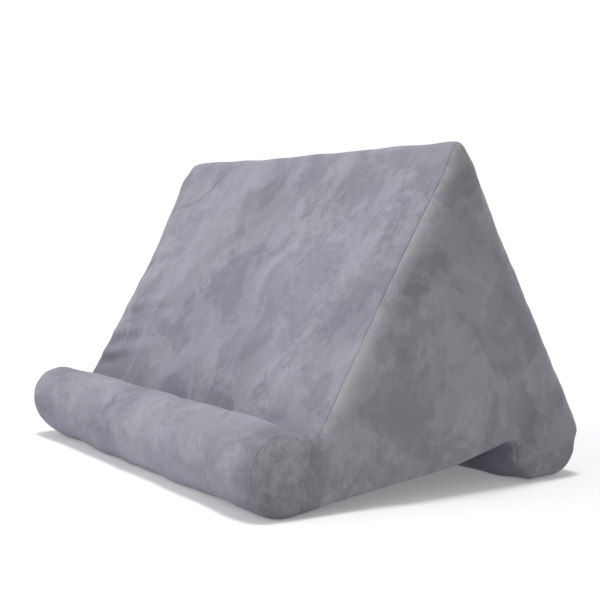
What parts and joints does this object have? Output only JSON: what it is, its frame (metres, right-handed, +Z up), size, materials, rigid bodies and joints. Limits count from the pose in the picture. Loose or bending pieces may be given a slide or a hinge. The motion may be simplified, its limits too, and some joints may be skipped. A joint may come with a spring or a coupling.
{
  "type": "tablet cushion stand",
  "caption": "Soft wedge stand with a roll along its front foot that holds a tablet at an angle, a rear net pocket with a snap flap and a raised rear foot.",
  "frame": {"origin": "middle of the footprint, on the surface that the stand rests on", "axes": "+X along the roll and the ridge, -Y towards the roll and the person who reads, +Z up"},
  "size_m": [0.3164, 0.229, 0.194],
  "materials": {
    "suede_cloth": "napped, matt",
    "end_cloth": "napped, matt",
    "foam": "open-cell foam",
    "pocket_mesh": "knitted mesh",
    "pale_cloth": "gathered elastic",
    "zip_tape": "woven tape, matt",
    "gloss_black": "glossy",
    "snap_metal": "plated, satin",
    "zip_metal": "plated, satin"
  },
  "bodies": {
    "cushion": {"front_panel": "suede_cloth", "roll_panel": "suede_cloth", "base_panel": "suede_cloth", "foot_panel": "suede_cloth", "rear_panel": "suede_cloth", "right_end_panel": "end_cloth", "left_end_panel": "end_cloth", "foam_wedge": "foam", "foam_front_roll": "foam", "foam_rear_foot": "foam", "pocket_net": "pocket_mesh", "pocket_binding": "suede_cloth", "pocket_hem": "pale_cloth", "snap_stud": "snap_metal", "snap_back": "snap_metal", "zip_tape_front": "zip_tape", "zip_tape_rear": "zip_tape", "zip_stop_right": "zip_metal", "zip_stop_left": "zip_metal"},
    "pocket_flap": {"flap_panel": "suede_cloth", "snap_cap": "gloss_black", "snap_socket": "snap_metal"},
    "zip_slider": {"zip_slider": "zip_metal"},
    "zip_pull": {"zip_pull": "zip_metal"}
  },
  "joints": [
    {"name": "flap_hinge", "type": "hinge", "parent": "cushion", "child": "pocket_flap", "pos_m": [0, 0.0195, 0.1934], "axis": [1, 0, 0], "range_deg": [0, 170]},
    {"name": "zip_slide", "type": "slide", "parent": "cushion", "child": "zip_slider", "axis": [-1, 0, 0], "range_m": [0, 0.1923]},
    {"name": "pull_swing", "type": "hinge", "parent": "zip_slider", "child": "zip_pull", "pos_m": [0.09617, -0.00447, 0.00708], "axis": [0, -0.9919, -0.1271], "range_deg": [-17, 162]}
  ]
}
